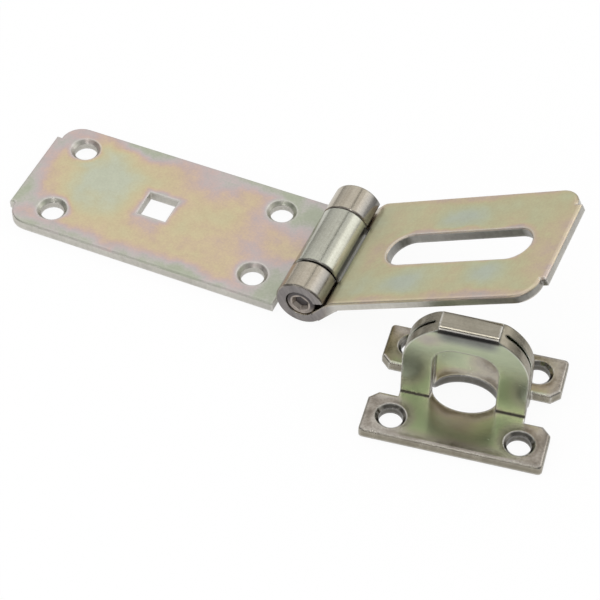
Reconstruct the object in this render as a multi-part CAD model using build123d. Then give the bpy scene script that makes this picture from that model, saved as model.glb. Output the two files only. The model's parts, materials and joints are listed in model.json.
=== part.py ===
from build123d import *
import os
from math import asin, cos, degrees, radians, sin, sqrt, tan

# A safety hasp: a mounting leaf and a slotted strap on one hinge pin, and the folded staple
# that stands up through the strap's slot. Millimetres, +Z up. The origin is the centre of the
# leaf's square bolt hole, on its back face; +X runs along the leaf towards the strap.

# Plate stock and rolled knuckles
PLATE = 3.2
EDGE_ROUND = 0.9
PIN_RADIUS = 4.5
RUNNING_CLEARANCE = 0.05
SIDE_CLEARANCE = 0.4
SIDE_PLAY = 0.25
MIDDLE_KNUCKLE = 23.2
EDGE_BREAK = 0.45
CURL_GAP = 0.45

# Leaf and strap outline
LEAF_WIDTH = 45.0
TIP_WIDTH = 31.4
TIP_STEP = 1.6

# Leaf, measured from the hinge axis
LEAF_CUTBACK = 9.0
BOLT_HOLE_SETBACK = 57.85
BOLT_HOLE_SIDE = 9.8
SCREW_HOLE = 7.2
SCREW_SINK = 9.6
LEAF_HOLE_PITCH = 68.05
LEAF_ROW_SPACING = 27.4
LEAF_ROW_STAGGER = 2.5
LEAF_HOLE_SETBACK = 22.0
LEAF_END_MARGIN = 11.25

# Strap, measured from the hinge axis
STRAP_REACH = 79.1
STRAP_TOP_DROP = 0.5
STRAP_BEND_RADIUS = 4.0
STRAP_BEND_ANGLE = 24.0
CURL_END_DROP = 0.8
STRAP_NOTCH_CLEARANCE = 1.25
STRAP_ANGLE = 27.2
SLOT_LENGTH = 47.9
SLOT_WIDTH = 12.7
SLOT_SETBACK = 20.75
SLOT_EDGE_BREAK = 0.4

# Hinge pin
PIN_END_RECESS = 0.3
PIN_END_CHAMFER = 0.4
PIN_PUNCH_RADIUS = 3.0
PIN_PUNCH_DEPTH = 1.4
PIN_PUNCH_TAPER = 32.0
PIN_PUNCH_SIDES = 6

# Staple
STAPLE_PLATE = 3.2
STAPLE_GAP = 1.2
STAPLE_FOOT_LENGTH = 53.0
STAPLE_FOOT_DEPTH = 15.0
STAPLE_DEPTH = 41.0
STAPLE_FOOT_CORNER = 1.3
STAPLE_NECK_CORNER = 2.6
STAPLE_WALL_WIDTH = 36.4
STAPLE_WALL_RADIUS = 16.4
STAPLE_WALL_SPRING = 17.5
STAPLE_HEIGHT = 34.0
STAPLE_FOLD_WIDTH = 17.3
STAPLE_FOLD_RADIUS = 2.9
STAPLE_FOLD_THICKNESS = 2.3
STAPLE_BEND_RADIUS = 0.4
STAPLE_EDGE_ROUND = 1.0
EYE_WIDTH = 19.0
EYE_TOP = 24.9
EYE_TOP_RADIUS = 6.5
EYE_FOOT_CUT = 2.9
STAPLE_HOLE = 7.0
STAPLE_SINK = 9.0
STAPLE_HOLE_SPACING = 37.1
STAPLE_HOLE_SETBACK = 7.0
STAPLE_PLACE = (113.35, -31.5)
STAPLE_YAW = 8.0

# Sizes that follow from the ones above
PIN_BORE = PIN_RADIUS + RUNNING_CLEARANCE
CURL_RADIUS = PIN_BORE + PLATE / 2
KNUCKLE_RADIUS = PIN_BORE + PLATE
SHOULDER_RADIUS = (LEAF_WIDTH - TIP_WIDTH) / 2
LEAF_REACH = LEAF_HOLE_SETBACK + LEAF_HOLE_PITCH + LEAF_END_MARGIN
KNUCKLE_END = LEAF_WIDTH / 2
NOTCH_HALF = MIDDLE_KNUCKLE / 2 + SIDE_CLEARANCE
CUT = 4 * STAPLE_DEPTH
TINY = 1e-6


def shouldered_outline(start, reach):
    """Outline of a plate with a square end at start and a stepped, round-shouldered tip at reach."""
    half = LEAF_WIDTH / 2
    tip = TIP_WIDTH / 2
    step = reach - TIP_STEP
    turn = step - SHOULDER_RADIUS
    near = Polyline((turn, -half), (start, -half), (start, half), (turn, half))
    far_turn = RadiusArc((turn, half), (step, tip), SHOULDER_RADIUS)
    end = Polyline((step, tip), (reach, tip), (reach, -tip), (step, -tip))
    near_turn = RadiusArc((step, -tip), (turn, -half), SHOULDER_RADIUS)
    return make_face([*near.edges(), far_turn, *end.edges(), near_turn])


def rolled_section(centre, radius, start, sweep):
    """Section of the plate rolled about a centre, from a start angle through a sweep in degrees."""
    inner = CenterArc(centre, radius - PLATE / 2, start, sweep)
    outer = CenterArc(centre, radius + PLATE / 2, start, sweep)
    return make_face([inner, outer, Line(inner @ 0, outer @ 0), Line(inner @ 1, outer @ 1)])


def flat_section(start, end, bottom):
    """Section of a flat stretch of the plate between two places along its length."""
    return Pos((start + end) / 2, bottom + PLATE / 2) * Rectangle(end - start, PLATE)


def across(section, low, high):
    """Extrude a section of the plate across the width, between two places on the hinge axis."""
    return Pos(0, (low + high) / 2, 0) * extrude(Plane.XZ * section, (high - low) / 2, both=True)


def arcs_of(solid, radius):
    """Circular edges of one radius."""
    return [e for e in solid.edges().filter_by(GeomType.CIRCLE) if abs(e.radius - radius) < TINY]


def knuckle(start, sweep, low, high):
    """One knuckle rolled about the pin, its outside end edges broken."""
    roll = across(rolled_section((0, 0), CURL_RADIUS, start, sweep), low, high)
    return chamfer(arcs_of(roll, KNUCKLE_RADIUS), EDGE_BREAK)


def sunk_hole(place, top, thickness, bore, mouth):
    """Cutter for a screw hole through a plate, with a right-angled countersink at its top face."""
    depth = (mouth - bore) / 2
    shank = Pos(*place, top - thickness / 2) * Cylinder(bore / 2, 2 * thickness)
    sink = Pos(*place, top - depth / 2) * Cone(bore / 2, mouth / 2, depth)
    return shank + sink


def rim(plate, level, past):
    """Outer edges of the plate's face at one level that lie further from the hinge than a place."""
    flat = [f for f in plate.faces().filter_by(Axis.Z) if abs(f.center().Z - level) < TINY][0]
    return [e for e in flat.outer_wire().edges() if abs((e @ 0.5).X) > past + TINY]


def mounting_leaf():
    """Leaf with its screw holes, square bolt hole and the middle knuckle rolled over the pin."""
    back = -KNUCKLE_RADIUS
    top = back + PLATE
    blank = Rot(0, 0, 180) * shouldered_outline(LEAF_CUTBACK, LEAF_REACH)
    plate = Pos(0, 0, back) * extrude(blank, PLATE)
    plate = fillet(rim(plate, top, LEAF_CUTBACK), EDGE_ROUND)
    for row in (1, -1):
        nearest = -LEAF_HOLE_SETBACK if row > 0 else LEAF_ROW_STAGGER - LEAF_HOLE_SETBACK
        for along in (nearest, nearest - LEAF_HOLE_PITCH):
            place = (along, row * LEAF_ROW_SPACING / 2)
            plate -= sunk_hole(place, top, PLATE, SCREW_HOLE, SCREW_SINK)
    square = Box(BOLT_HOLE_SIDE, BOLT_HOLE_SIDE, 2 * PLATE)
    plate -= Pos(-BOLT_HOLE_SETBACK, 0, back + PLATE / 2) * square
    seam = 180 + degrees(asin((KNUCKLE_RADIUS - PLATE - CURL_GAP) / KNUCKLE_RADIUS))
    half = MIDDLE_KNUCKLE / 2
    tongue = across(flat_section(-LEAF_CUTBACK, 0, back), -half, half)
    return plate + tongue + knuckle(-90, seam + 90, -half, half)


def stepped_section(flat_end, corner_height):
    """Section of the strap from its flat, through the bend, down to where the curl takes over."""
    slope = radians(STRAP_BEND_ANGLE)
    centre = (flat_end, corner_height - STRAP_BEND_RADIUS)
    inner = CenterArc(centre, STRAP_BEND_RADIUS - PLATE / 2, 90, STRAP_BEND_ANGLE)
    outer = CenterArc(centre, STRAP_BEND_RADIUS + PLATE / 2, 90, STRAP_BEND_ANGLE)
    bore_end = (PIN_BORE * sin(slope), -PIN_BORE * cos(slope))
    back_end = (KNUCKLE_RADIUS * sin(slope), -KNUCKLE_RADIUS * cos(slope))
    sides = [Line(inner @ 0, outer @ 0), Line(outer @ 1, bore_end), Line(inner @ 1, back_end)]
    return make_face([inner, outer, *sides, Line(bore_end, back_end)])


def on_upper_side(edge):
    """Whether an edge of the strap's bend runs along its upper side."""
    slope = radians(STRAP_BEND_ANGLE)
    place = edge @ 0.5
    return place.X * sin(slope) - place.Z * cos(slope) < CURL_RADIUS - TINY


def slotted_strap():
    """Strap with its slot, the notch for the middle knuckle and the two outer rolled knuckles."""
    top = -STRAP_TOP_DROP
    bottom = top - PLATE
    middle = top - PLATE / 2
    slope = radians(STRAP_BEND_ANGLE)
    corner = (CURL_RADIUS + middle * cos(slope)) / sin(slope)
    flat_end = corner + STRAP_BEND_RADIUS * tan(slope / 2)

    # Flat plate with a rounded top edge and a broken slot rim
    plate = Pos(0, 0, bottom) * extrude(shouldered_outline(flat_end, STRAP_REACH), PLATE)
    plate = fillet(rim(plate, top, flat_end), EDGE_ROUND)
    plate = chamfer(rim(plate, bottom, flat_end), EDGE_BREAK)
    slot = extrude(SlotOverall(SLOT_LENGTH, SLOT_WIDTH), PLATE)
    plate -= Pos(SLOT_SETBACK + SLOT_LENGTH / 2, 0, bottom) * slot
    face = plate.faces().filter_by(Axis.Z).sort_by(Axis.Z)[-1]
    plate = chamfer(face.inner_wires().edges(), SLOT_EDGE_BREAK)

    # The plate bends down beside the pin, with a notch that clears the middle knuckle
    step = across(stepped_section(flat_end, middle), -KNUCKLE_END, KNUCKLE_END)
    for end in (0, -1):
        side = step.faces().filter_by(Axis.Y).sort_by(Axis.Y)[end]
        step = fillet([e for e in side.edges() if on_upper_side(e)], EDGE_ROUND)
    step -= Box(2 * (KNUCKLE_RADIUS + STRAP_NOTCH_CLEARANCE), 2 * NOTCH_HALF, CUT)
    plate += step

    # On each side of the notch it rolls under, behind and over the pin
    seam = -degrees(asin(CURL_END_DROP / KNUCKLE_RADIUS))
    turn = 270 + STRAP_BEND_ANGLE - seam
    for side in (-1, 1):
        low, high = sorted((side * NOTCH_HALF, side * KNUCKLE_END))
        plate += knuckle(seam, turn, low, high)
    return Pos(0, -SIDE_PLAY, 0) * plate


def hinge_pin():
    """Headless pin, chamfered at both ends, with a punched six-sided recess in its near end."""
    half = KNUCKLE_END - PIN_END_RECESS
    pin = chamfer(Cylinder(PIN_RADIUS, 2 * half).edges(), PIN_END_CHAMFER)
    mouth = Pos(0, 0, half) * RegularPolygon(PIN_PUNCH_RADIUS, PIN_PUNCH_SIDES)
    pin -= extrude(mouth, -PIN_PUNCH_DEPTH, taper=PIN_PUNCH_TAPER)
    return Pos(0, -SIDE_PLAY, 0) * Rot(90, 0, 0) * pin


def staple_section():
    """Half of the folded staple's section, from the front foot up to the middle of the fold."""
    front = -STAPLE_DEPTH / 2
    inside = -STAPLE_GAP / 2
    outside = inside - STAPLE_PLATE
    heel = STAPLE_PLATE + STAPLE_BEND_RADIUS
    crease = outside - STAPLE_BEND_RADIUS
    turn = STAPLE_HEIGHT - STAPLE_FOLD_RADIUS
    roof = STAPLE_HEIGHT - STAPLE_FOLD_THICKNESS
    crown = roof - STAPLE_GAP / 2
    flat_run = [
        Polyline((inside - heel, 0), (front, 0), (front, STAPLE_PLATE), (crease, STAPLE_PLATE)),
        RadiusArc((crease, STAPLE_PLATE), (outside, heel), -STAPLE_BEND_RADIUS),
        Line((outside, heel), (outside, turn)),
        RadiusArc((outside, turn), (outside + STAPLE_FOLD_RADIUS, STAPLE_HEIGHT), STAPLE_FOLD_RADIUS),
        Polyline((outside + STAPLE_FOLD_RADIUS, STAPLE_HEIGHT), (0, STAPLE_HEIGHT), (0, roof)),
        RadiusArc((0, roof), (inside, crown), -STAPLE_GAP / 2),
        Line((inside, crown), (inside, heel)),
        RadiusArc((inside, heel), (inside - heel, 0), heel),
    ]
    return make_face([edge for run in flat_run for edge in run.edges()])


def staple_wall_outline():
    """Front view of what the two walls and the fold keep above the feet."""
    half = STAPLE_WALL_WIDTH / 2
    fold = STAPLE_FOLD_WIDTH / 2
    spring = STAPLE_WALL_SPRING
    centre = half - STAPLE_WALL_RADIUS
    meet = spring + sqrt(STAPLE_WALL_RADIUS ** 2 - (fold - centre) ** 2)
    over = STAPLE_HEIGHT + STAPLE_PLATE
    runs = [
        Polyline((-half, spring), (-half, 0), (half, 0), (half, spring)),
        RadiusArc((half, spring), (fold, meet), -STAPLE_WALL_RADIUS),
        Polyline((fold, meet), (fold, over), (-fold, over), (-fold, meet)),
        RadiusArc((-fold, meet), (-half, spring), -STAPLE_WALL_RADIUS),
    ]
    return make_face([edge for run in runs for edge in run.edges()])


def staple_eye():
    """Cutter for the eye: an arch through both walls, and an oval between them in both feet."""
    arch = Pos(0, (EYE_TOP + STAPLE_PLATE) / 2) * Rectangle(EYE_WIDTH, EYE_TOP - STAPLE_PLATE)
    arch = fillet(arch.vertices().sort_by(Axis.Y)[2:], EYE_TOP_RADIUS)
    oval = Ellipse(EYE_WIDTH / 2, STAPLE_GAP / 2 + STAPLE_PLATE + EYE_FOOT_CUT)
    through_walls = extrude(Plane.XZ * arch, STAPLE_DEPTH, both=True)
    return through_walls + Pos(0, 0, -STAPLE_PLATE) * extrude(oval, 2 * STAPLE_PLATE)


def staple():
    """Staple folded from one blank: two feet, a doubled wall, the fold at its top and the eye."""
    half_fold = extrude(Plane.YZ * staple_section(), STAPLE_FOOT_LENGTH / 2, both=True)
    body = half_fold + mirror(half_fold, Plane.XZ)

    # Plan view of the feet and the narrower neck that the walls rise from
    foot = RectangleRounded(STAPLE_FOOT_LENGTH, STAPLE_DEPTH, STAPLE_FOOT_CORNER)
    waist_depth = STAPLE_DEPTH - 2 * STAPLE_FOOT_DEPTH
    side = (STAPLE_FOOT_LENGTH - STAPLE_WALL_WIDTH) / 2
    for end in (-1, 1):
        place = end * (STAPLE_FOOT_LENGTH / 2 - side / 2)
        foot -= Pos(place, 0) * Rectangle(side, waist_depth)
    waist_ends = [v for v in foot.vertices() if abs(abs(v.Y) - waist_depth / 2) < TINY]
    waist_corners = [v for v in waist_ends if abs(abs(v.X) - STAPLE_FOOT_LENGTH / 2) < TINY]
    foot = chamfer(waist_corners, STAPLE_NECK_CORNER)
    body &= Pos(0, 0, -STAPLE_PLATE) * extrude(foot, STAPLE_HEIGHT + 2 * STAPLE_PLATE)

    # Round-shouldered walls
    above_feet = Pos(0, 0, STAPLE_PLATE + STAPLE_HEIGHT / 2) * Box(CUT, CUT, STAPLE_HEIGHT)
    above_feet -= extrude(Plane.XZ * staple_wall_outline(), CUT, both=True)
    body -= above_feet

    # Soft top edges round each foot
    feet_top = [f for f in body.faces().filter_by(Axis.Z) if abs(f.center().Z - STAPLE_PLATE) < TINY]
    waist = waist_depth / 2
    rims = [e for f in feet_top for e in f.outer_wire().edges() if abs((e @ 0.5).Y) > waist - TINY]
    body = fillet(rims, STAPLE_EDGE_ROUND)

    body -= staple_eye()
    for row in (-1, 1):
        for end in (-1, 1):
            place = (end * STAPLE_HOLE_SPACING / 2, row * (STAPLE_DEPTH / 2 - STAPLE_HOLE_SETBACK))
            body -= sunk_hole(place, STAPLE_PLATE, STAPLE_PLATE, STAPLE_HOLE, STAPLE_SINK)
    return body


at_hinge = Pos(BOLT_HOLE_SETBACK, 0, KNUCKLE_RADIUS)
raised = at_hinge * Rot(0, -STRAP_ANGLE, 0)
pieces = {
    "mounting_leaf": at_hinge * mounting_leaf(),
    "slotted_strap": raised * slotted_strap(),
    "hinge_pin": raised * hinge_pin(),
    "staple": Pos(*STAPLE_PLACE, 0) * Rot(0, 0, STAPLE_YAW) * staple(),
}

os.makedirs("parts", exist_ok=True)
for name, piece in pieces.items():
    export_step(piece, f"parts/{name}.step")
    print(name, "solids", len(piece.solids()), "volume", round(piece.volume, 1), "valid", piece.is_valid)
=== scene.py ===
"""Looks of a safety hasp: zinc plate under a passivate film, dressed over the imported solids."""

import json
import logging
import math
from abc import ABC, abstractmethod
from dataclasses import dataclass
from enum import Enum
from functools import reduce

import bpy
from mathutils import Color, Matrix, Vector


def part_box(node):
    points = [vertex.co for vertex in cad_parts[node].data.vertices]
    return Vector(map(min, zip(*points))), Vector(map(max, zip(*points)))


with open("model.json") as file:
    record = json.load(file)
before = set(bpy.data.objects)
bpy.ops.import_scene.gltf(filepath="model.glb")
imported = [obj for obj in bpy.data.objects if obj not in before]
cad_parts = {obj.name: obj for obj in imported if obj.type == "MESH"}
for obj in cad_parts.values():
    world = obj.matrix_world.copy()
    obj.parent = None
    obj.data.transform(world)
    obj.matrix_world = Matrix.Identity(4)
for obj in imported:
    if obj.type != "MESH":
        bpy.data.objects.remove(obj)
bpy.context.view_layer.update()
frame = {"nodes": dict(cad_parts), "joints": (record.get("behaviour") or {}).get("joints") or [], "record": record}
LOG = logging.getLogger("hasp")

Colour = tuple[int, int, int]
Stop = tuple[float, Colour]
Pair = tuple[float, float]
Triple = tuple[float, float, float]
Shade = tuple[float, float, float, float]
Socket = bpy.types.NodeSocket
Value = Socket | float
Spot = Socket | Triple
Tint = Socket | Shade

# Places that the frame gives
MILLIMETRE = 0.001
HINGE = frame["joints"][0]
HINGE_AXIS: Triple = tuple(HINGE["pos_m"])
STRAP_LIFT: float = -HINGE["range_deg"][0]
MOUNTS = {mount["name"]: mount for mount in frame["record"]["mounts"]}
LEAF_LOW, LEAF_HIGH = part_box("mounting_leaf")

# Values that the finishes share
SCREEN_WHITE = 255
MIDDLE = 0.5
BEVEL_SAMPLES = 6
RUBBED_AGREEMENT: Pair = (0.998, 0.93)
CONE_FACING = math.sqrt(0.5)
CONE_SPREAD: Pair = (0.12, 0.03)


def linear(colour: Colour) -> Shade:
    """Turn a screen colour into the linear colour that a shader socket takes.

    Args:
        colour: red, green and blue from 0 to 255.

    Returns:
        Linear red, green and blue, and a full fourth channel.
    """
    screen = Color([channel / SCREEN_WHITE for channel in colour])
    return (*screen.from_srgb_to_scene_linear(), 1.0)


def grey(level: float) -> Shade:
    """A linear grey."""
    return (level, level, level, 1.0)


class OpeningShape(Enum):
    """Shapes of the openings that the film thins out towards."""

    ROUND = "round"
    SQUARE = "square"
    SLOT = "slot"


class RampFade(Enum):
    """How a ramp goes from one stop to the next."""

    SMOOTH = "B_SPLINE"
    STRAIGHT = "LINEAR"


class Coordinate(Enum):
    """What a texture coordinate tells of a surface."""

    POINT = "Object"
    FACING = "Normal"


@dataclass(frozen=True)
class Opening:
    """An opening through a panel, in the panel's own millimetres.

    The half width is a radius for a round hole and a slot, and run is half of a slot's straight length.
    """

    shape: OpeningShape
    x: float
    y: float
    half_width: float
    run: float = 0.0


@dataclass(frozen=True)
class Pool:
    """A patch where the film dried thicker, or thinner where depth is below zero."""

    x: float
    y: float
    half_length: float
    half_width: float
    depth: float


@dataclass(frozen=True)
class Place:
    """Where a piece's own axes stand in the row frame, with the turn in degrees."""

    origin: Triple
    turn: Triple

    def radians(self) -> Triple:
        """The turn as Blender takes it."""
        return tuple(math.radians(angle) for angle in self.turn)


@dataclass(frozen=True)
class Grain:
    """Soft noise: waves per millimetre, octaves, and how much faster it runs along each axis."""

    scale: float
    octaves: float
    stretch: Triple = (1.0, 1.0, 1.0)


@dataclass(frozen=True)
class Relief:
    """Fine relief on a surface: the bump's strength and its depth in metres."""

    strength: float
    depth: float


class Graph:
    """A node tree, with short calls for the fields that the finishes share."""

    def __init__(self, tree: bpy.types.NodeTree) -> None:
        """Work on a tree.

        Args:
            tree: the node tree of a material or a world.
        """
        self.tree = tree

    def node(self, kind: str, **settings: object) -> bpy.types.Node:
        """Add a node.

        Args:
            kind: the node's type.
            settings: values for the node's own properties.

        Returns:
            The new node.
        """
        made = self.tree.nodes.new(kind)
        for key, value in settings.items():
            setattr(made, key, value)
        return made

    def feed(self, target: Socket, value: Value | Spot | Tint) -> None:
        """Link a socket to a target, or set the target to a plain value.

        Args:
            target: the input to feed.
            value: a socket, or a number, triple or colour.
        """
        if isinstance(value, bpy.types.NodeSocket):
            self.tree.links.new(value, target)
        else:
            target.default_value = value

    def math(self, operation: str, *values: Value, clamp: bool = False) -> Socket:
        """Add a Math node.

        Args:
            operation: the node's operation.
            values: up to three sockets or numbers.
            clamp: keep the result between 0 and 1.

        Returns:
            The result.
        """
        made = self.node("ShaderNodeMath", operation=operation, use_clamp=clamp)
        for target, value in zip(made.inputs, values):
            self.feed(target, value)
        return made.outputs[0]

    def product(self, *values: Value) -> Socket:
        """The values multiplied together."""
        return reduce(lambda total, value: self.math("MULTIPLY", total, value), values)

    def largest(self, *values: Value) -> Socket:
        """The largest of the values."""
        return reduce(lambda total, value: self.math("MAXIMUM", total, value), values)

    def unsigned(self, value: Value) -> Socket:
        """A value without its sign."""
        return self.math("ABSOLUTE", value)

    def rest_of(self, share: Value) -> Socket:
        """What a share leaves of one."""
        return self.math("SUBTRACT", 1.0, share)

    def hypot(self, first: Socket, second: Socket) -> Socket:
        """The length of a flat vector from its two parts."""
        return self.math("SQRT", self.math("MULTIPLY_ADD", first, first, self.product(second, second)))

    def weighted(self, start: Value, *terms: tuple[Value, Value], clamp: bool = False) -> Socket:
        """Add terms, each times its weight, to a start.

        Args:
            start: the first value.
            terms: pairs of a value and its weight.
            clamp: keep the result between 0 and 1.

        Returns:
            The sum.
        """
        total = start
        for value, weight in terms:
            total = self.math("MULTIPLY_ADD", value, weight, total)
        return self.math("ADD", total, 0.0, clamp=True) if clamp else total

    def vector(self, operation: str, *values: Spot, output: str = "Vector") -> Socket:
        """Add a Vector Math node.

        Args:
            operation: the node's operation.
            values: sockets or triples.
            output: the output to take.

        Returns:
            The result.
        """
        made = self.node("ShaderNodeVectorMath", operation=operation)
        for target, value in zip(made.inputs, values):
            self.feed(target, value)
        return made.outputs[output]

    def length(self, vector: Socket) -> Socket:
        """A vector's length."""
        return self.vector("LENGTH", vector, output="Value")

    def split(self, vector: Socket) -> tuple[Socket, Socket, Socket]:
        """Take a vector apart.

        Args:
            vector: the vector.

        Returns:
            Its three parts.
        """
        made = self.node("ShaderNodeSeparateXYZ")
        self.feed(made.inputs[0], vector)
        return made.outputs[0], made.outputs[1], made.outputs[2]

    def joined(self, x: Socket, y: Socket) -> Socket:
        """Make a flat place.

        Args:
            x: its first part.
            y: its second part.

        Returns:
            The place, with nothing in its third part.
        """
        made = self.node("ShaderNodeCombineXYZ")
        self.feed(made.inputs[0], x)
        self.feed(made.inputs[1], y)
        return made.outputs[0]

    def step(self, value: Value, low: float, high: float) -> Socket:
        """Make a smooth step.

        Args:
            value: the socket to read.
            low: where the step is 0.
            high: where the step is 1, which may lie below low.

        Returns:
            A share from 0 to 1.
        """
        made = self.node("ShaderNodeMapRange", interpolation_type="SMOOTHSTEP")
        self.feed(made.inputs["Value"], value)
        made.inputs["From Min"].default_value = low
        made.inputs["From Max"].default_value = high
        return made.outputs["Result"]

    def step_about(self, value: Value, middle: float, offsets: Pair) -> Socket:
        """A smooth step from one offset about a middle to the other."""
        return self.step(value, middle + offsets[0], middle + offsets[1])

    def noise_node(self, where: Socket, grain: Grain) -> bpy.types.Node:
        """Add a Noise node.

        Args:
            where: the place in millimetres.
            grain: the noise to draw, without its stretch.

        Returns:
            The node.
        """
        made = self.node("ShaderNodeTexNoise")
        self.feed(made.inputs["Vector"], where)
        made.inputs["Scale"].default_value = grain.scale
        made.inputs["Detail"].default_value = grain.octaves
        return made

    def noise(self, where: Socket, grain: Grain) -> Socket:
        """Soft noise about zero, mostly from -0.5 to 0.5."""
        made = self.noise_node(self.vector("MULTIPLY", where, grain.stretch), grain)
        return self.math("SUBTRACT", made.outputs["Fac"], MIDDLE)

    def wander(self, where: Socket, grain: Grain, reach: float) -> Socket:
        """Push points about, so that what follows them wanders.

        Args:
            where: the place in millimetres.
            grain: the noise that pushes.
            reach: how far a point may be pushed, in millimetres.

        Returns:
            The pushed place.
        """
        made = self.noise_node(where, grain)
        centred = self.vector("SUBTRACT", made.outputs["Color"], (MIDDLE, MIDDLE, MIDDLE))
        push = self.vector("MULTIPLY", centred, (2 * reach, 2 * reach, 2 * reach))
        return self.vector("ADD", where, push)

    def ramp(self, share: Socket, stops: tuple[tuple[float, Shade], ...], fade: RampFade) -> Socket:
        """Run through colours along a share.

        Args:
            share: from 0 to 1.
            stops: places and linear colours in order.
            fade: how one colour goes over into the next.

        Returns:
            The colour.
        """
        made = self.node("ShaderNodeValToRGB")
        ramp = made.color_ramp
        ramp.interpolation = fade.value
        while len(ramp.elements) < len(stops):
            ramp.elements.new(1.0)
        for element, (place, colour) in zip(ramp.elements, stops):
            element.position = place
            element.color = colour
        self.feed(made.inputs["Fac"], share)
        return made.outputs["Color"]

    def bands(self, share: Socket, stops: tuple[Stop, ...]) -> Socket:
        """Soft bands of screen colours along a share."""
        return self.ramp(share, tuple((place, linear(colour)) for place, colour in stops), RampFade.SMOOTH)

    def levels(self, share: Socket, stops: tuple[Pair, ...]) -> Socket:
        """Plain greys along a share."""
        return self.ramp(share, tuple((place, grey(level)) for place, level in stops), RampFade.STRAIGHT)

    def blend(self, share: Value, under: Tint, over: Tint) -> Socket:
        """Mix two colours.

        Args:
            share: how much of the second shows.
            under: the first colour.
            over: the second colour.

        Returns:
            The mixed colour.
        """
        made = self.node("ShaderNodeMix", data_type="RGBA")
        self.feed(made.inputs["Factor"], share)
        self.feed(made.inputs["A"], under)
        self.feed(made.inputs["B"], over)
        return made.outputs["Result"]

    def mixed(self, share: Socket, under: Socket, over: Socket) -> Socket:
        """Mix two shaders.

        Args:
            share: how much of the second shows.
            under: the first shader.
            over: the second shader.

        Returns:
            The mixed shader.
        """
        made = self.node("ShaderNodeMixShader")
        for target, value in zip(made.inputs, (share, under, over)):
            self.feed(target, value)
        return made.outputs[0]

    def rays(self) -> tuple[Socket, Socket]:
        """Tell rays apart by where they come from.

        Returns:
            The share straight from the camera, and the share that metal or glass sent on.
        """
        path = self.node("ShaderNodeLightPath").outputs
        return path["Is Camera Ray"], self.largest(path["Is Glossy Ray"], path["Is Transmission Ray"])

    def opening_distance(self, flat: Socket, opening: Opening) -> Socket:
        """Measure how far a point of a panel lies from an opening's rim.

        Args:
            flat: the point on the panel in millimetres.
            opening: the opening.

        Returns:
            The distance in millimetres, below zero inside it.
        """
        off = self.vector("SUBTRACT", flat, (opening.x, opening.y, 0))
        if opening.shape is OpeningShape.ROUND:
            return self.math("SUBTRACT", self.length(off), opening.half_width)
        size = self.vector("ABSOLUTE", off)
        if opening.shape is OpeningShape.SLOT:
            past = self.vector("SUBTRACT", size, (opening.run, 0, 0))
            past = self.vector("MAXIMUM", past, (0, 0, 0))
            return self.math("SUBTRACT", self.length(past), opening.half_width)
        across, along, _ = self.split(size)
        return self.math("SUBTRACT", self.largest(across, along), opening.half_width)


class Paint(Graph):
    """A material with one shader in it."""

    def __init__(self, name: str) -> None:
        """Start the material.

        Args:
            name: the material's name.
        """
        self.material = bpy.data.materials.new(name)
        self.material.use_nodes = True
        super().__init__(self.material.node_tree)
        self.shader = self.tree.nodes["Principled BSDF"]

    def own(self, place: Place, kind: Coordinate, unit: float) -> Socket:
        """Read a texture coordinate along a piece's own axes.

        Args:
            place: where those axes stand.
            kind: a point or a direction.
            unit: the length that counts as one.

        Returns:
            The coordinate.
        """
        made = self.node("ShaderNodeMapping", vector_type="TEXTURE")
        self.feed(made.inputs["Vector"], self.node("ShaderNodeTexCoord").outputs[kind.value])
        made.inputs["Rotation"].default_value = place.radians()
        made.inputs["Scale"].default_value = (unit, unit, unit)
        if kind is Coordinate.POINT:
            made.inputs["Location"].default_value = place.origin
        return made.outputs["Vector"]

    def place_of(self, place: Place) -> Socket:
        """The point on the surface in a piece's own millimetres."""
        return self.own(place, Coordinate.POINT, MILLIMETRE)

    def facing_of(self, place: Place) -> Socket:
        """The surface's normal along a piece's own axes."""
        return self.own(place, Coordinate.FACING, 1.0)

    def cone(self, facing: Socket) -> Socket:
        """The share that leans half over, as a countersink's cone does."""
        return self.step(self.unsigned(self.math("SUBTRACT", facing, CONE_FACING)), *CONE_SPREAD)

    def worn(self, softness: float) -> Socket:
        """Wear the edges round.

        Args:
            softness: how far the wear reaches from an edge, in metres.

        Returns:
            The worn surface's normal.
        """
        made = self.node("ShaderNodeBevel", samples=BEVEL_SAMPLES)
        made.inputs["Radius"].default_value = softness
        return made.outputs["Normal"]

    def rubbed_highlight(self, softness: float) -> Socket:
        """Find the edges that get rubbed wear and a painted highlight.

        Args:
            softness: how far the rubbed wear and painted highlight reach from an edge, in metres.

        Returns:
            The share, 0 away from edges.
        """
        plain = self.node("ShaderNodeNewGeometry").outputs["Normal"]
        agreement = self.vector("DOT_PRODUCT", self.worn(softness), plain, output="Value")
        return self.step(agreement, *RUBBED_AGREEMENT)

    def emboss(self, height: Socket, relief: Relief, softness: float) -> None:
        """Bump the surface and soften its edges.

        Args:
            height: the bumps' height.
            relief: how much of it shows.
            softness: the radius that tumbling wore on the edges, in metres.
        """
        bump = self.node("ShaderNodeBump")
        bump.inputs["Strength"].default_value = relief.strength
        bump.inputs["Distance"].default_value = relief.depth
        self.feed(bump.inputs["Normal"], self.worn(softness))
        self.feed(bump.inputs["Height"], height)
        self.feed(self.shader.inputs["Normal"], bump.outputs["Normal"])

    def metal(self, colour: Socket, roughness: Socket) -> None:
        """Make the shader a metal.

        Args:
            colour: the metal's colour.
            roughness: its roughness.
        """
        self.feed(self.shader.inputs["Base Color"], colour)
        self.feed(self.shader.inputs["Roughness"], roughness)
        self.shader.inputs["Metallic"].default_value = 1.0

    def wear(self, node: str) -> None:
        """Put the material on a CAD node.

        Args:
            node: the node's name.
        """
        for slot in frame["nodes"][node].material_slots:
            slot.link = "OBJECT"
            slot.material = self.material


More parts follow.
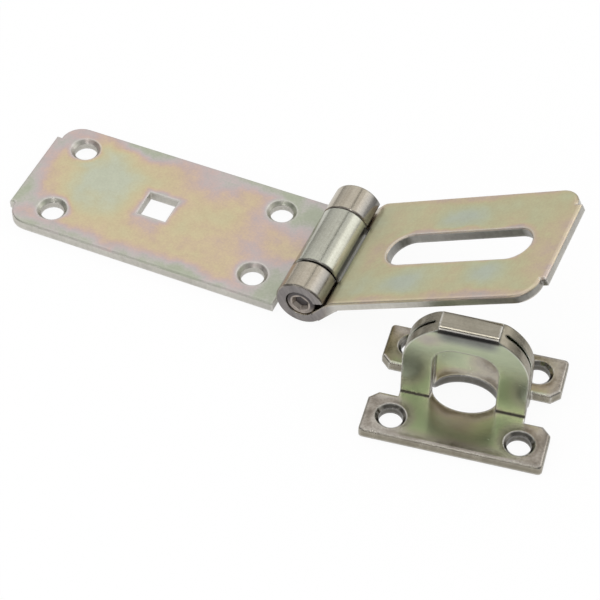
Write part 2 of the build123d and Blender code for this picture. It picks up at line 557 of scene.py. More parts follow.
@dataclass(frozen=True)
class Masks:
    """Where a piece's surfaces lie: the film's thickness, and the shares of the rest.

    Rolled is burnished metal, cut a sheared edge, bare an end without film and on the staple the crease's
    painted shade, the shade share painted shade that darkens and greys, and sharp an edge that gets
    neither rubbed wear nor painted highlight.
    """

    film: Socket
    rolled: Socket
    cut: Socket
    bare_and_crease_shade: Socket
    grime: Socket
    sharp: Socket


@dataclass(frozen=True)
class Grains:
    """The grains drawn over one piece, from broad patches to fine specks, and two that run in streaks."""

    patches: Socket
    flecks: Socket
    specks: Socket
    rolling: Socket
    shear: Socket


@dataclass(frozen=True)
class PassivateFinish:
    """Zinc under a passivate film whose colour bands follow how thick the film dried.

    Level is the film's thickness away from edges and pools, edge_level its thickness at an edge, and
    reach is how far from an edge, in millimetres, it gets from one to the other. Mottle, fleck and
    speck break it up, and the burnished colours show where the plate was rolled or folded hard. The
    fields with defaults are the grains, how much each of them moves a colour, the tone with its painted
    shade, the roughness or the relief, and how edges got rubbed wear with a painted highlight and were
    worn round, with their reaches in metres.
    """

    name: str
    bands: tuple[Stop, ...]
    burnished: tuple[Stop, ...]
    cut_edge: tuple[Stop, ...]
    # colours of bare ends, and on the staple the crease's painted shade
    bare_end_and_crease_shade: tuple[Stop, ...]
    level: float
    edge_level: float
    reach: float
    mottle: float
    mottle_scale: float
    wander: float
    fleck: float
    speck: float
    roughness: float
    burnished_roughness: float
    rolling: Grain
    seed: Triple
    mottle_octaves: float = 2.5
    wander_octaves: float = 3.0
    flecks: Grain = Grain(0.30, 4.0)
    specks: Grain = Grain(1.5, 4.0)
    shear: Grain = Grain(1.0, 3.0, (1.0, 1.0, 0.15))
    roll_patch: float = 0.8
    roll_streak: float = 0.7
    roll_speck: float = 0.2
    cut_streak: float = 0.9
    cut_patch: float = 1.0
    # paler worn film with a painted highlight on the edges
    rubbed_highlight: Colour = (232, 229, 223)
    rubbed_highlight_share: float = 0.75
    rubbed_highlight_reach: float = 0.0012
    tone_fleck: float = 0.16
    tone_speck: float = 0.22
    # painted shade: how much it darkens and greys the colour
    grime_dark: float = 0.5
    grime_grey: float = 0.6
    rough_patch: float = 0.08
    rough_speck: float = 0.06
    rough_shear: float = 0.15
    relief: Relief = Relief(0.10, 0.00012)
    relief_fleck: float = 1.5
    relief_shear: float = 1.0
    rolled_calm: float = 0.8
    softness: float = 0.0006

    def run_off(self, paint: Paint, where: Socket) -> Socket:
        """Push the place about as the film ran.

        Args:
            paint: the material being made.
            where: the point in the piece's own millimetres.

        Returns:
            The pushed point.
        """
        drawn = paint.vector("ADD", where, self.seed)
        pushed = paint.wander(drawn, Grain(self.mottle_scale, self.wander_octaves), self.wander)
        return paint.vector("SUBTRACT", pushed, self.seed)

    def grains(self, paint: Paint, where: Socket) -> Grains:
        """Draw the grains.

        Args:
            paint: the material being made.
            where: the point in the piece's own millimetres.

        Returns:
            The grains at that point.
        """
        drawn = paint.vector("ADD", where, self.seed)
        patches = Grain(self.mottle_scale, self.mottle_octaves)
        kinds = (patches, self.flecks, self.specks, self.rolling, self.shear)
        return Grains(*(paint.noise(drawn, kind) for kind in kinds))

    def colour(self, paint: Paint, masks: Masks, grains: Grains) -> Socket:
        """Lay the colours over each other, from the film to the bare ends, the painted highlight and the painted
        shade.

        Args:
            paint: the material being made.
            masks: where the piece's surfaces lie.
            grains: the grains.

        Returns:
            The metal's colour.
        """
        patches, flecks, specks = grains.patches, grains.flecks, grains.specks
        breakup = ((patches, self.mottle), (flecks, self.fleck), (specks, self.speck))
        colour = paint.bands(paint.weighted(masks.film, *breakup, clamp=True), self.bands)

        streaks = ((patches, self.roll_patch), (grains.rolling, self.roll_streak), (specks, self.roll_speck))
        roll_share = paint.weighted(MIDDLE, *streaks, clamp=True)
        colour = paint.blend(masks.rolled, colour, paint.bands(roll_share, self.burnished))

        tears = ((grains.shear, self.cut_streak), (patches, self.cut_patch))
        cut_share = paint.weighted(MIDDLE, *tears, clamp=True)
        colour = paint.blend(masks.cut, colour, paint.bands(cut_share, self.cut_edge))

        # painted highlight and paler worn film along the edges
        rubbed_highlight_share = paint.product(paint.rubbed_highlight(self.rubbed_highlight_reach), paint.rest_of(masks.sharp), self.rubbed_highlight_share)
        colour = paint.blend(rubbed_highlight_share, colour, linear(self.rubbed_highlight))
        colour = paint.blend(masks.bare_and_crease_shade, colour, paint.bands(cut_share, self.bare_end_and_crease_shade))

        # painted shade darkens and greys the colour
        tone = paint.node("ShaderNodeHueSaturation")
        shades = ((flecks, self.tone_fleck), (specks, self.tone_speck), (masks.grime, -self.grime_dark))
        paint.feed(tone.inputs["Value"], paint.weighted(1.0, *shades))
        paint.feed(tone.inputs["Saturation"], paint.weighted(1.0, (masks.grime, -self.grime_grey)))
        paint.feed(tone.inputs["Color"], colour)
        return tone.outputs["Color"]

    def apply(self, paint: Paint, where: Socket, masks: Masks) -> None:
        """Wire the film, the rolled parts and the cut edges to the shader.

        Args:
            paint: the material being made.
            where: the point in the piece's own millimetres.
            masks: where the piece's surfaces lie.
        """
        grains = self.grains(paint, where)
        sheared = paint.product(grains.shear, masks.cut)

        smoother = self.burnished_roughness - self.roughness
        gloss = (
            (masks.rolled, smoother),
            (grains.patches, self.rough_patch),
            (grains.specks, self.rough_speck),
            (sheared, self.rough_shear),
        )
        paint.metal(self.colour(paint, masks, grains), paint.weighted(self.roughness, *gloss))

        bumps = ((grains.flecks, self.relief_fleck), (sheared, self.relief_shear))
        uneven = paint.weighted(grains.specks, *bumps)
        calm = paint.weighted(1.0, (masks.rolled, -self.rolled_calm))
        paint.emboss(paint.product(uneven, calm), self.relief, self.softness)


@dataclass(frozen=True)
class Panel:
    """A flat stretch of film: its edges, its openings and where the film pooled, in millimetres.

    Away from an opening's rim the film thickens at opening_rate times the pace it does from an edge,
    from opening_start on, and opening_shade is the painted shade in the opening's wall, which ends at the
    wall's distances from the rim. Corner_blend rounds the film off where two edges meet, clear_reaches is how
    many reaches from an edge still count, rim is the width along an edge that stays thin, and lift is added to
    the finish's level.
    """

    start: Pair
    end: Pair
    openings: tuple[Opening, ...] = ()
    pools: tuple[Pool, ...] = ()
    opening_rate: float = 1.8
    opening_start: float = 2.6
    opening_shade: float = 0.0
    corner_blend: float = 2.0
    clear_reaches: float = 4.0
    rim: float = 0.8
    wall: Pair = (0.7, 0.25)
    lift: float = 0.0

    def clearance(self, paint: Paint, flat: Socket, most: float) -> Socket:
        """Measure how far a point lies from the edges and the openings.

        Args:
            paint: the material being made.
            flat: the point on the panel.
            most: the largest distance that counts.

        Returns:
            The distance, rounded off where two edges meet.
        """
        gaps = []
        for along, low, high in zip(paint.split(flat), self.start, self.end):
            gaps.append(paint.math("SUBTRACT", along, low))
            gaps.append(paint.math("SUBTRACT", high, along))
        for opening in self.openings:
            off_rim = paint.opening_distance(flat, opening)
            gaps.append(paint.math("MULTIPLY_ADD", off_rim, self.opening_rate, self.opening_start))
        clear: Value = most
        for gap in gaps:
            clear = paint.math("SMOOTH_MIN", clear, gap, self.corner_blend)
        return clear

    def film(self, paint: Paint, flat: Socket, finish: PassivateFinish) -> Socket:
        """Work out the film's thickness, thin at the edges and round the openings.

        Args:
            paint: the material being made.
            flat: the point on the panel.
            finish: the finish that the film belongs to.

        Returns:
            The thickness, mostly from 0 to 1.
        """
        level: Value = finish.level + self.lift
        for pool in self.pools:
            off = paint.vector("SUBTRACT", flat, (pool.x, pool.y, 0))
            off = paint.vector("DIVIDE", off, (pool.half_length, pool.half_width, 1))
            level = paint.weighted(level, (paint.step(paint.length(off), 1.0, 0.0), pool.depth))
        rise = paint.math("SUBTRACT", level, finish.edge_level)
        clear = self.clearance(paint, flat, self.clear_reaches * finish.reach)
        return paint.weighted(finish.edge_level, (paint.step(clear, self.rim, finish.reach), rise))

    def inside(self, paint: Paint, flat: Socket) -> Socket:
        """Find the openings' own walls.

        Args:
            paint: the material being made.
            flat: the point on the panel.

        Returns:
            The share, 1 in a wall and 0 a little way off.
        """
        near: Value = self.wall[0]
        for opening in self.openings:
            near = paint.math("MINIMUM", near, paint.opening_distance(flat, opening))
        return paint.step(near, *self.wall)


@dataclass(frozen=True)
class PlatedPiece(ABC):
    """A piece of plated sheet, with axes of its own."""

    node: str
    place: Place
    finish: PassivateFinish

    @abstractmethod
    def masks(self, paint: Paint, where: Socket) -> Masks:
        """Tell the piece's surfaces apart.

        Args:
            paint: the material being made.
            where: the point in the piece's own millimetres.

        Returns:
            The shares.
        """

    def dress(self) -> str:
        """Give the node its finish.

        Returns:
            The node's name.
        """
        paint = Paint(self.finish.name)
        where = paint.place_of(self.place)
        self.finish.apply(paint, where, self.masks(paint, where))
        paint.wear(self.node)
        return self.node


@dataclass(frozen=True)
class HingedPlate(PlatedPiece):
    """A plate on the hinge, measured in millimetres from the hinge axis along the plate.

    A field named facing holds the parts of a normal between which a share goes from 0 to 1, and one
    named fade the distances past the knuckle's radius. The plate gets painted shade by hinge_shade towards
    the hinge, over shade_run, and its countersinks are burnished by cone_burnish.
    """

    panel: Panel
    knuckle_radius: float = HINGE_AXIS[2] / MILLIMETRE
    burnish_fade: Pair = (1.0, 0.2)
    end_fade: Pair = (4.0, -1.0)
    edge_facing: Pair = (0.45, 0.12)
    end_facing: Pair = (0.5, 0.9)
    gap_facing: Pair = (0.62, 0.98)
    cone_burnish: float = 0.3
    hinge_shade: float = 0.14
    shade_run: float = 26.0

    def grime(self, paint: Paint, where: Socket, rolled: Socket, cut: Socket) -> Socket:
        """Paint shade into the gap beside the knuckles, the openings' walls and the plate by the hinge.

        Args:
            paint: the material being made.
            where: the point in the plate's own millimetres.
            rolled: the share of the knuckles.
            cut: the share of the cut edges.

        Returns:
            The share of the painted shade.
        """
        along, across, _ = paint.split(where)
        outward, _, _ = paint.split(paint.facing_of(self.place))
        # painted shade on the knuckles' sides that face the gap
        gap_side = paint.product(paint.step(outward, *self.gap_facing), rolled)
        inside = self.panel.inside(paint, paint.joined(along, across))
        walls = paint.product(inside, cut, self.panel.opening_shade)
        by_hinge = paint.step(paint.unsigned(along), self.shade_run, self.knuckle_radius)
        return paint.largest(gap_side, walls, paint.product(by_hinge, self.hinge_shade))

    def masks(self, paint: Paint, where: Socket) -> Masks:
        """Tell the film, the knuckles, the cut edges and the knuckles' ends apart.

        Args:
            paint: the material being made.
            where: the point in the plate's own millimetres.

        Returns:
            The shares.
        """
        along, _, up = paint.split(where)
        _, sideways, facing = paint.split(paint.facing_of(self.place))
        reach = paint.hypot(along, up)
        rolled = paint.step_about(reach, self.knuckle_radius, self.burnish_fade)
        burnished = paint.largest(rolled, paint.product(paint.cone(facing), self.cone_burnish))
        upright = paint.step(paint.unsigned(facing), *self.edge_facing)
        cut = paint.product(upright, paint.rest_of(rolled))
        end_on = paint.step(paint.unsigned(sideways), *self.end_facing)
        bare_and_crease_shade = paint.product(end_on, paint.step_about(reach, self.knuckle_radius, self.end_fade))
        ran_along, ran_across, _ = paint.split(self.finish.run_off(paint, where))
        film = self.panel.film(paint, paint.joined(ran_along, ran_across), self.finish)
        return Masks(film, burnished, cut, bare_and_crease_shade, self.grime(paint, where, rolled, cut), sharp=rolled)


@dataclass(frozen=True)
class Staple(PlatedPiece):
    """The folded staple, measured in millimetres from its middle on the mounting surface.

    A field named facing holds the parts of a normal between which a share goes from 0 to 1. The fold and
    the painted shade under it start and end at distances from the bend and from the fold's ends. The crease's
    painted shade lies crease_offset off the wall and the foot, and stops short of the eye.
    """

    feet: Panel
    walls: Panel
    plate: float = 3.2
    height: float = 34.0
    fold: float = 2.9
    fold_half: float = 8.65
    fold_rise: Pair = (-0.6, 0.6)
    fold_side: Pair = (0.1, -0.1)
    wall_front: float = 3.8
    wall_run: float = 1.5
    end_facing: Pair = (0.45, 0.75)
    front_facing: Pair = (0.6, 0.9)
    rim_facing: Pair = (0.5, 0.2)
    upright_facing: Pair = (0.6, 0.3)
    # painted shade on the countersinks' cones
    cone_grime: float = 0.5
    shade_rise: Pair = (-4.4, -0.4)
    shade_fall: Pair = (2.4, 1.4)
    shade_side: Pair = (1.4, -2.6)
    shade_depth: float = 1.15
    eye_half: float = 9.5
    crease_offset: float = 0.2
    crease_spread: Pair = (0.45, 0.15)
    crease_fade: Pair = (0.0, 0.3)

    def bend(self) -> float:
        """The height at which the walls start to fold over."""
        return self.height - self.fold

    def film(self, paint: Paint, where: Socket, on_wall: Socket) -> Socket:
        """Join the film of the feet and the film of the walls.

        Args:
            paint: the material being made.
            where: the point in the staple's own millimetres.
            on_wall: the share of the walls.

        Returns:
            The film's thickness.
        """
        along, across, up = paint.split(self.finish.run_off(paint, where))
        foot = self.feet.film(paint, paint.joined(along, across), self.finish)
        wall = self.walls.film(paint, paint.joined(along, up), self.finish)
        return paint.weighted(foot, (paint.math("SUBTRACT", wall, foot), on_wall))

    def crease(self, paint: Paint, where: Socket) -> Socket:
        """Find the line of painted shade where a wall stands on its foot.

        Args:
            paint: the material being made.
            where: the point in the staple's own millimetres.

        Returns:
            The share of the painted shade.
        """
        along, across, up = paint.split(where)
        off_wall = paint.math("SUBTRACT", paint.unsigned(across), self.wall_front + self.crease_offset)
        off_foot = paint.math("SUBTRACT", up, self.plate + self.crease_offset)
        beside_wall = paint.step(paint.unsigned(off_wall), *self.crease_spread)
        above_foot = paint.step(paint.unsigned(off_foot), *self.crease_spread)
        off_eye = paint.step_about(paint.unsigned(along), self.eye_half, self.crease_fade)
        return paint.product(off_eye, beside_wall, above_foot)

    def fold_shade(self, paint: Paint, where: Socket, front: Socket) -> Socket:
        """Paint shade on the front of the walls under the fold.

        Args:
            paint: the material being made.
            where: the point in the staple's own millimetres.
            front: the share of the faces to the front and back.

        Returns:
            The share of the painted shade.
        """
        along, _, up = paint.split(where)
        rise = paint.step_about(up, self.bend(), self.shade_rise)
        fall = paint.step_about(up, self.bend(), self.shade_fall)
        below = paint.step_about(paint.unsigned(along), self.fold_half, self.shade_side)
        return paint.product(rise, fall, below, front, self.shade_depth)

    def masks(self, paint: Paint, where: Socket) -> Masks:
        """Tell the feet, the walls, the fold, the cut edges and the crease apart.

        Args:
            paint: the material being made.
            where: the point in the staple's own millimetres.

        Returns:
            The shares.
        """
        along, across, up = paint.split(where)
        east, north, facing = paint.split(paint.facing_of(self.place))
        on_wall = paint.step(up, self.plate, self.plate + self.wall_run)
        on_foot = paint.rest_of(on_wall)
        on_fold = paint.step_about(paint.unsigned(along), self.fold_half, self.fold_side)
        rolled = paint.product(paint.step_about(up, self.bend(), self.fold_rise), on_fold)
        cone = paint.product(paint.cone(facing), on_foot)

        front = paint.step(paint.unsigned(north), *self.front_facing)
        rim = paint.step(paint.unsigned(north), *self.rim_facing)
        arch = paint.product(rim, on_wall, paint.rest_of(rolled))
        end_face = paint.step(paint.unsigned(east), *self.end_facing)
        cut = paint.math("ADD", paint.largest(end_face, arch), paint.product(front, on_foot), clamp=True)

        # painted shade in the eye's wall, under the fold and on the countersinks' cones
        upright = paint.step(paint.unsigned(facing), *self.upright_facing)
        inside = self.feet.inside(paint, paint.joined(along, across))
        eye_wall = paint.product(inside, upright, on_foot, self.feet.opening_shade)
        under_fold_shade = self.fold_shade(paint, where, front)
        return Masks(
            film=self.film(paint, where, on_wall),
            rolled=paint.largest(rolled, cone),
            cut=cut,
            # the crease's painted shade goes in the bare share
            bare_and_crease_shade=self.crease(paint, where),
            grime=paint.largest(eye_wall, under_fold_shade, paint.product(cone, self.cone_grime)),
            sharp=arch,
        )


@dataclass(frozen=True)
class PinSteel:
    """Plain grey steel, with painted shade in the punched recess and round the rim."""

    name: str = "pin_steel_punched"
    ground: tuple[Stop, ...] = ((0.0, (144, 135, 128)), (0.5, (176, 166, 157)), (1.0, (200, 191, 182)))
    patches: Grain = Grain(0.5, 4.0)
    scratches: Grain = Grain(1.6, 3.0, (1.0, 1.0, 0.2))
    ground_patch: float = 1.3
    ground_scratch: float = 1.0
    shade: Colour = (60, 58, 62)
    shade_share: float = 0.88
    roughness: float = 0.36
    rough_patch: float = 0.2
    relief: Relief = Relief(0.2, 0.0001)
    softness: float = 0.0003

    def apply(self, paint: Paint, where: Socket, shaded: Socket) -> None:
        """Wire the steel to the shader.

        Args:
            paint: the material being made.
            where: the point in the pin's own millimetres.
            shaded: the share that lies in shade.
        """
        patches = paint.noise(where, self.patches)
        scratches = paint.noise(where, self.scratches)
        wear = ((patches, self.ground_patch), (scratches, self.ground_scratch))
        ground = paint.bands(paint.weighted(MIDDLE, *wear, clamp=True), self.ground)
        colour = paint.blend(paint.product(shaded, self.shade_share), ground, linear(self.shade))
        paint.metal(colour, paint.weighted(self.roughness, (patches, self.rough_patch)))
        paint.emboss(scratches, self.relief, self.softness)


@dataclass(frozen=True)
class HingePin:
    """The headless pin in the outer knuckles, measured in millimetres from the hinge axis.

    The pit is a share of the punch's depth. The rim and the face start and end at distances past the
    punch's radius and depth, and the crescent at heights across the face, leaning to one side.
    """

    node: str
    place: Place
    finish: PinSteel
    punch_radius: float = 3.0
    punch_depth: float = 1.4
    rim: Pair = (-0.1, 0.4)
    crescent: Pair = (-5.0, 1.0)
    crescent_lean: float = 0.6
    pit: Pair = (0.7, 0.95)
    face: Pair = (1.0, 0.5)

    def shaded(self, paint: Paint, where: Socket) -> Socket:
        """Find the shade on the pin's near end.

        Args:
            paint: the material being made.
            where: the point in the pin's own millimetres.

        Returns:
            The share of the recess and of the upper rim.
        """
        along, across, up = paint.split(where)
        near_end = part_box(self.node)[0][1] / MILLIMETRE
        depth = paint.math("SUBTRACT", across, near_end)
        upper = paint.step(paint.weighted(up, (along, self.crescent_lean)), *self.crescent)
        rim = paint.product(paint.step_about(paint.hypot(along, up), self.punch_radius, self.rim), upper)
        pit = paint.step(depth, self.pit[0] * self.punch_depth, self.pit[1] * self.punch_depth)
        return paint.product(paint.largest(rim, pit), paint.step_about(depth, self.punch_depth, self.face))

    def dress(self) -> str:
        """Give the pin its finish.

        Returns:
            The node's name.
        """
        paint = Paint(self.finish.name)
        where = paint.place_of(self.place)
        self.finish.apply(paint, where, self.shaded(paint, where))
        paint.wear(self.node)
        return self.node


@dataclass(frozen=True)
class Softbox:
    """One square studio light that looks at the hasp, as bright as its glow."""

    name: str
    stand: Triple
    side: float
    glow: float

    def power(self) -> float:
        """The lamp's power for its glow."""
        return self.glow * math.pi * self.side ** 2


@dataclass(frozen=True)
class Studio:
    """Floor, backdrop, lights and camera, in metres and degrees.

    To metal, the floor is bright within a reach of the target and behind the front edge, and far_grey
    elsewhere. The levels are heights of a direction and the room's grey there, in front and behind, and
    the seam is a dark upright strip behind.
    """

    target: Triple = (0.06, -0.015, 0.01)
    floor_half: float = 4.0
    floor_drop: float = 0.0003
    floor_white: float = 0.90
    floor_roughness: float = 0.9
    camera_white: float = 0.93
    near_floor: float = 0.40
    far_grey: float = 0.14
    bright_reach: Pair = (0.16, 0.42)
    front_edge: Pair = (-0.064, -0.084)
    behind: Pair = (-0.35, 0.25)
    back_levels: tuple[Pair, ...] = ((0.0, 0.50), (0.32, 0.77), (0.72, 1.0), (1.0, 1.0))
    front_levels: tuple[Pair, ...] = ((0.0, 0.14), (0.60, 0.18), (0.76, 0.70), (1.0, 1.0))
    seam: float = 0.02
    seam_half: float = 0.05
    seam_grey: float = 0.15
    camera_stand: Triple = (0.224841, -0.403933, 0.478507)
    camera_turn: Triple = (41.582, 0.0, 23.648)
    lens: float = 128.26
    sensor: float = 36.0
    clip_start: float = 0.01
    boxes: tuple[Softbox, ...] = (
        Softbox("left_box", (-0.80, -0.10, 0.60), 0.34, 1.0),
        Softbox("back_box", (0.62, 0.63, 0.56), 0.46, 0.8),
        Softbox("front_high_box", (0.11, -0.72, 0.76), 0.16, 3.6),
        Softbox("front_low_box", (0.147, -0.97, 0.37), 0.26, 2.4),
        Softbox("front_side_box", (-0.46, -0.97, 0.36), 0.50, 1.2),
    )

    def stand(self, name: str, data: bpy.types.ID | None, spot: Triple) -> bpy.types.Object:
        """Stand a new object in the scene.

        Args:
            name: its name.
            data: its mesh, lamp or camera, or nothing.
            spot: where it stands.

        Returns:
            The object.
        """
        made = bpy.data.objects.new(name, data)
        made.location = spot
        bpy.context.scene.collection.objects.link(made)
        return made

    def floor_paper(self) -> bpy.types.Material:
        """Make the floor's pale paper, white to the camera and darker to metal further off.

        Returns:
            The material.
        """
        paint = Paint("floor_paper")
        paint.shader.inputs["Base Color"].default_value = grey(self.floor_white)
        paint.shader.inputs["Roughness"].default_value = self.floor_roughness
        paint.shader.inputs["Specular IOR Level"].default_value = 0.0
        white = paint.node("ShaderNodeEmission")
        dim = paint.node("ShaderNodeEmission")
        dim.inputs["Color"].default_value = grey(self.far_grey)
        seen, mirrored = paint.rays()
        spot = paint.node("ShaderNodeTexCoord").outputs["Object"]
        away = paint.step(paint.length(paint.vector("SUBTRACT", spot, self.target)), *self.bright_reach)
        far = paint.largest(away, paint.step(paint.split(spot)[1], *self.front_edge))
        lit = paint.largest(paint.product(seen, self.camera_white), paint.product(mirrored, self.near_floor))
        glowing = paint.mixed(lit, paint.shader.outputs[0], white.outputs[0])
        dimmed = paint.mixed(paint.product(mirrored, far), glowing, dim.outputs[0])
        paint.feed(paint.tree.nodes["Material Output"].inputs["Surface"], dimmed)
        return paint.material

    def build_floor(self) -> None:
        """Lay the floor just under the hasp."""
        size = self.floor_half
        corners = [(-size, -size, 0), (size, -size, 0), (size, size, 0), (-size, size, 0)]
        mesh = bpy.data.meshes.new("floor")
        mesh.from_pydata(corners, [], [(0, 1, 2, 3)])
        mesh.materials.append(self.floor_paper())
        floor = self.stand("floor", mesh, (0, 0, -self.floor_drop))

    def build_world(self) -> None:
        """Hang the white backdrop, which metal sees as a soft room, bright behind and overhead."""
        world = bpy.data.worlds.new("studio")
        world.use_nodes = True
        bpy.context.scene.world = world
        graph = Graph(world.node_tree)
        backdrop = graph.tree.nodes["Background"]
        backdrop.inputs["Color"].default_value = grey(1.0)
        room = graph.node("ShaderNodeBackground")
        sideways, depth, height = graph.split(graph.node("ShaderNodeTexCoord").outputs["Generated"])
        behind = graph.step(depth, *self.behind)
        front_grey = graph.levels(height, self.front_levels)
        back_grey = graph.levels(height, self.back_levels)
        walls = graph.blend(behind, front_grey, back_grey)
        off_seam = graph.unsigned(graph.math("SUBTRACT", sideways, self.seam))
        seam = graph.product(graph.step(off_seam, self.seam_half, self.seam_half / 2), behind)
        graph.feed(room.inputs["Color"], graph.blend(seam, walls, grey(self.seam_grey)))
        _, mirrored = graph.rays()
        shown = graph.mixed(mirrored, backdrop.outputs[0], room.outputs[0])
        graph.feed(graph.tree.nodes["World Output"].inputs["Surface"], shown)

    def build_lights(self) -> None:
        """Hang the softboxes and aim each at the hasp."""
        aim = self.stand("light_aim", None, self.target)
        for box in self.boxes:
            lamp = bpy.data.lights.new(box.name, "AREA")
            lamp.size = box.side
            lamp.energy = box.power()
            holder = self.stand(box.name, lamp, box.stand)
            holder.visible_camera = False
            track = holder.constraints.new("TRACK_TO")
            track.target = aim
            track.track_axis = "TRACK_NEGATIVE_Z"
            track.up_axis = "UP_Y"

    def build_camera(self) -> None:
        """Stand the camera where the photograph was taken from."""
        view = bpy.data.cameras.new("camera")
        view.sensor_width = self.sensor
        view.lens = self.lens
        view.clip_start = self.clip_start
        holder = self.stand("camera", view, self.camera_stand)
        holder.rotation_euler = tuple(math.radians(angle) for angle in self.camera_turn)
        bpy.context.scene.camera = holder

    def build(self) -> None:
        """Set the whole studio up."""
        self.build_floor()
        self.build_world()
        self.build_lights()
        self.build_camera()
        bpy.context.scene.view_settings.view_transform = "Standard"


def from_hinge(mount: str) -> Pair:
    """Measure where a mount lies from the hinge.

    Args:
        mount: the mount's name in the record.

    Returns:
        Its place along and across the leaf, in millimetres from the hinge axis.
    """
    spot = MOUNTS[mount]["pos_m"]
    return (spot[0] - HINGE_AXIS[0]) / MILLIMETRE, (spot[1] - HINGE_AXIS[1]) / MILLIMETRE


def leaf_openings(bolt_half: float, sink_radius: float) -> tuple[Opening, ...]:
    """Place the leaf's openings by the record's mounts.

    Args:
        bolt_half: half the width of the square bolt hole.
        sink_radius: the radius of a countersink that the film thins out towards.

    Returns:
        The bolt hole and the four screw holes.
    """
    openings = [Opening(OpeningShape.SQUARE, *from_hinge("square_bolt_hole"), bolt_half)]
    for row in ("leaf_far_screws", "leaf_near_screws"):
        along, across = from_hinge(row)
        half = MOUNTS[row]["dims"]["spacing_x_mm"] / 2
        for x in (along + half, along - half):
            openings.append(Opening(OpeningShape.ROUND, x, across, sink_radius))
    return tuple(openings)


def staple_place() -> Place:
    """Find where the staple stands by its two rows of screws.

    Returns:
        The middle of the four screws and the turn of the rows.
    """
    front = MOUNTS["staple_front_screws"]["pos_m"]
    rear = MOUNTS["staple_rear_screws"]["pos_m"]
    middle = tuple((near + far) / 2 for near, far in zip(front, rear))
    turn = math.degrees(math.atan2(front[0] - rear[0], rear[1] - front[1]))
    return Place(middle, (0.0, 0.0, turn))


def staple_openings(eye_half: float, eye_run: float, sink_radius: float) -> tuple[Opening, ...]:
    """Place the openings in the staple's feet by the record's mounts.

    Args:
        eye_half: half the width of the eye across the feet.
        eye_run: half of the eye's straight length.
        sink_radius: the radius of a countersink that the film thins out towards.

    Returns:
        The eye and the four screw holes.
    """
    front = MOUNTS["staple_front_screws"]
    rear = MOUNTS["staple_rear_screws"]
    half_row = front["dims"]["pcd_mm"] / 2
    half_gap = math.dist(front["pos_m"], rear["pos_m"]) / MILLIMETRE / 2
    openings = [Opening(OpeningShape.SLOT, 0.0, 0.0, eye_half, eye_run)]
    for x in (-half_row, half_row):
        for y in (-half_gap, half_gap):
            openings.append(Opening(OpeningShape.ROUND, x, y, sink_radius))
    return tuple(openings)


# Finishes
SILVER_EDGE: tuple[Stop, ...] = ((0.0, (180, 177, 168)), (0.5, (200, 197, 189)), (1.0, (214, 211, 203)))
BARE_END: tuple[Stop, ...] = ((0.0, (114, 109, 108)), (0.5, (138, 133, 131)), (1.0, (166, 160, 156)))
# painted shade along the staple's crease
CREASE_PAINTED_SHADE: tuple[Stop, ...] = ((0.0, (52, 50, 42)), (1.0, (84, 80, 68)))
ALONG_HINGE = Grain(0.30, 3.0, (3.0, 0.1, 3.0))
ALONG_FOLD = Grain(0.30, 3.0, (0.1, 3.0, 3.0))

LEAF_FINISH = PassivateFinish(
    name="leaf_passivate",
    bands=(
        (0.0, (180, 186, 164)),
        (0.10, (192, 191, 180)),
        (0.19, (199, 191, 189)),
        (0.30, (205, 183, 180)),
        (0.43, (212, 189, 164)),
        (0.58, (212, 197, 160)),
        (0.78, (205, 200, 166)),
        (1.0, (197, 202, 184)),
    ),
    burnished=((0.0, (168, 166, 152)), (0.5, (188, 187, 172)), (1.0, (200, 202, 188))),
    cut_edge=SILVER_EDGE,
    bare_end_and_crease_shade=BARE_END,
    level=0.56,
    edge_level=0.13,
    reach=7.5,
    mottle=0.80,
    mottle_scale=0.065,
    wander=3.0,
    fleck=0.28,
    speck=0.17,
    roughness=0.41,
    burnished_roughness=0.20,
    rolling=ALONG_HINGE,
    seed=(11.0, 4.0, 0.0),
)

STRAP_FINISH = PassivateFinish(
    name="strap_passivate",
    bands=(
        (0.0, (196, 193, 186)),
        (0.14, (210, 188, 180)),
        (0.30, (217, 198, 166)),
        (0.48, (209, 203, 164)),
        (0.72, (205, 207, 175)),
        (1.0, (197, 204, 190)),
    ),
    burnished=((0.0, (170, 158, 140)), (0.5, (190, 180, 161)), (1.0, (204, 197, 182))),
    cut_edge=SILVER_EDGE,
    bare_end_and_crease_shade=BARE_END,
    level=0.54,
    edge_level=0.25,
    reach=4.0,
    mottle=0.75,
    mottle_scale=0.08,
    wander=3.0,
    fleck=0.28,
    speck=0.17,
    roughness=0.40,
    burnished_roughness=0.20,
    rolling=ALONG_HINGE,
    seed=(3.0, 17.0, 5.0),
)

STAPLE_FINISH = PassivateFinish(
    name="staple_passivate",
    bands=(
        (0.0, (118, 109, 100)),
        (0.10, (154, 146, 135)),
        (0.20, (188, 182, 174)),
        (0.36, (190, 185, 168)),
        (0.56, (192, 202, 171)),
        (0.78, (160, 168, 146)),
        (1.0, (134, 138, 116)),
    ),
    burnished=((0.0, (138, 132, 118)), (0.5, (154, 148, 134)), (1.0, (172, 167, 154))),
    cut_edge=((0.0, (120, 114, 100)), (0.5, (144, 138, 123)), (1.0, (168, 162, 148))),
    bare_end_and_crease_shade=CREASE_PAINTED_SHADE,
    level=0.62,
    edge_level=0.10,
    reach=6.0,
    mottle=0.36,
    mottle_scale=0.11,
    wander=2.0,
    fleck=0.14,
    speck=0.14,
    roughness=0.25,
    burnished_roughness=0.14,
    rolling=ALONG_FOLD,
    seed=(7.0, 2.0, 9.0),
)

# Panels, which run on past the hinge or the walls' ends where the film has no edge
PAST_HINGE = 20.0
PLATE_HALF = LEAF_HIGH[1] / MILLIMETRE
LEAF_END = (LEAF_LOW[0] - HINGE_AXIS[0]) / MILLIMETRE
STRAP_END = 79.1
FOOT_HALF = 26.5
FEET_DEPTH_HALF = 20.5

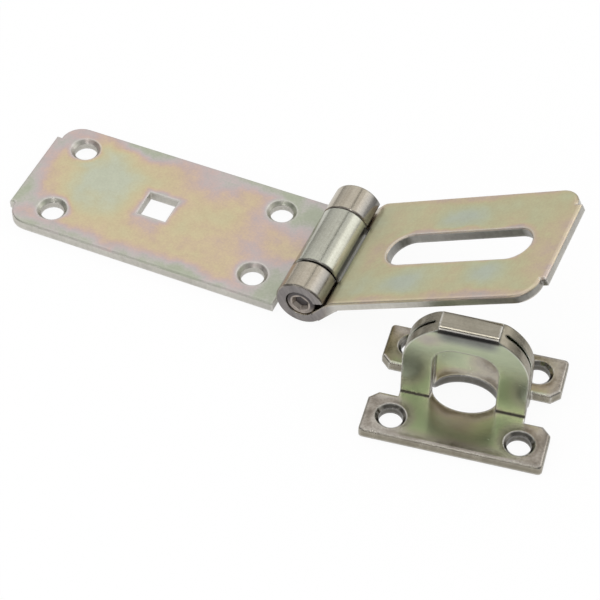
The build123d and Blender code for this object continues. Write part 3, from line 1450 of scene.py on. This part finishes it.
LEAF_PANEL = Panel(
    start=(LEAF_END, -PLATE_HALF),
    end=(PAST_HINGE, PLATE_HALF),
    openings=leaf_openings(bolt_half=4.9, sink_radius=4.8),
    pools=(
        Pool(-77.0, 2.5, 17.0, 22.0, 0.46),
        Pool(-37.0, 5.0, 10.0, 9.0, 0.14),
        Pool(-58.0, -3.0, 14.0, 15.0, -0.22),
        Pool(-50.0, 18.0, 24.0, 12.0, -0.30),
        Pool(-25.0, 3.0, 15.0, 18.0, -0.32),
        Pool(-8.0, -13.0, 25.0, 18.0, -0.62),
        Pool(-8.0, 17.0, 24.0, 17.0, -0.62),
        Pool(-97.0, 16.0, 10.0, 10.0, -0.25),
        Pool(-97.0, -14.0, 12.0, 10.0, -0.30),
    ),
)

STRAP_PANEL = Panel(
    start=(-PAST_HINGE, -PLATE_HALF),
    end=(STRAP_END, PLATE_HALF),
    openings=(Opening(OpeningShape.SLOT, x=44.7, y=0.0, half_width=6.35, run=17.6),),
    pools=(
        Pool(42.0, 13.0, 15.0, 9.0, 0.50),
        Pool(32.0, -14.5, 11.0, 8.0, 0.48),
        Pool(58.0, -12.5, 11.0, 8.0, 0.46),
        Pool(76.0, 2.0, 14.0, 26.0, -0.26),
        Pool(20.0, 18.0, 12.0, 9.0, -0.16),
        Pool(18.0, 0.0, 9.0, 10.0, -0.20),
    ),
    opening_rate=1.6,
    opening_start=0.0,
    opening_shade=0.7,
)

FEET_PANEL = Panel(
    start=(-FOOT_HALF, -FEET_DEPTH_HALF),
    end=(FOOT_HALF, FEET_DEPTH_HALF),
    openings=staple_openings(eye_half=6.7, eye_run=2.8, sink_radius=4.5),
    pools=(
        Pool(-11.0, -14.0, 9.0, 9.0, 0.12),
        Pool(11.0, -14.0, 9.0, 9.0, 0.12),
        Pool(0.0, -11.0, 9.0, 7.0, -0.12),
        Pool(0.0, -18.0, 10.0, 5.0, 0.30),
        Pool(5.0, 13.0, 10.0, 9.0, -0.36),
        Pool(-7.0, 13.0, 8.0, 9.0, 0.20),
        Pool(-26.0, -15.0, 17.0, 15.0, -0.70),
        Pool(26.0, -15.0, 16.0, 14.0, -0.22),
        Pool(26.0, 10.0, 14.0, 14.0, -0.08),
    ),
    opening_rate=1.5,
    opening_start=0.5,
    opening_shade=0.75,
    lift=-0.12,
)

WALLS_PANEL = Panel(
    start=(-24.0, -20.0),
    end=(24.0, 60.0),
    pools=(
        Pool(-11.0, 28.0, 8.0, 5.0, -0.40),
        Pool(-14.0, 13.0, 9.0, 14.0, 0.30),
        Pool(12.5, 13.0, 8.0, 13.0, 0.28),
    ),
)


def main() -> None:
    """Dress the hasp piece by piece and set up the studio."""
    logging.basicConfig(level=logging.INFO, format="%(name)s: %(message)s")
    level = Place(HINGE_AXIS, (0.0, 0.0, 0.0))
    lifted = Place(HINGE_AXIS, (0.0, -STRAP_LIFT, 0.0))
    pieces = (
        HingedPlate("mounting_leaf", level, LEAF_FINISH, LEAF_PANEL),
        HingedPlate("slotted_strap", lifted, STRAP_FINISH, STRAP_PANEL),
        HingePin("hinge_pin", lifted, PinSteel()),
        Staple("staple", staple_place(), STAPLE_FINISH, FEET_PANEL, WALLS_PANEL),
    )
    for piece in pieces:
        LOG.info("dressed %s", piece.dress())
    Studio().build()
    LOG.info("studio ready")


if __name__ == "__main__":
    main()
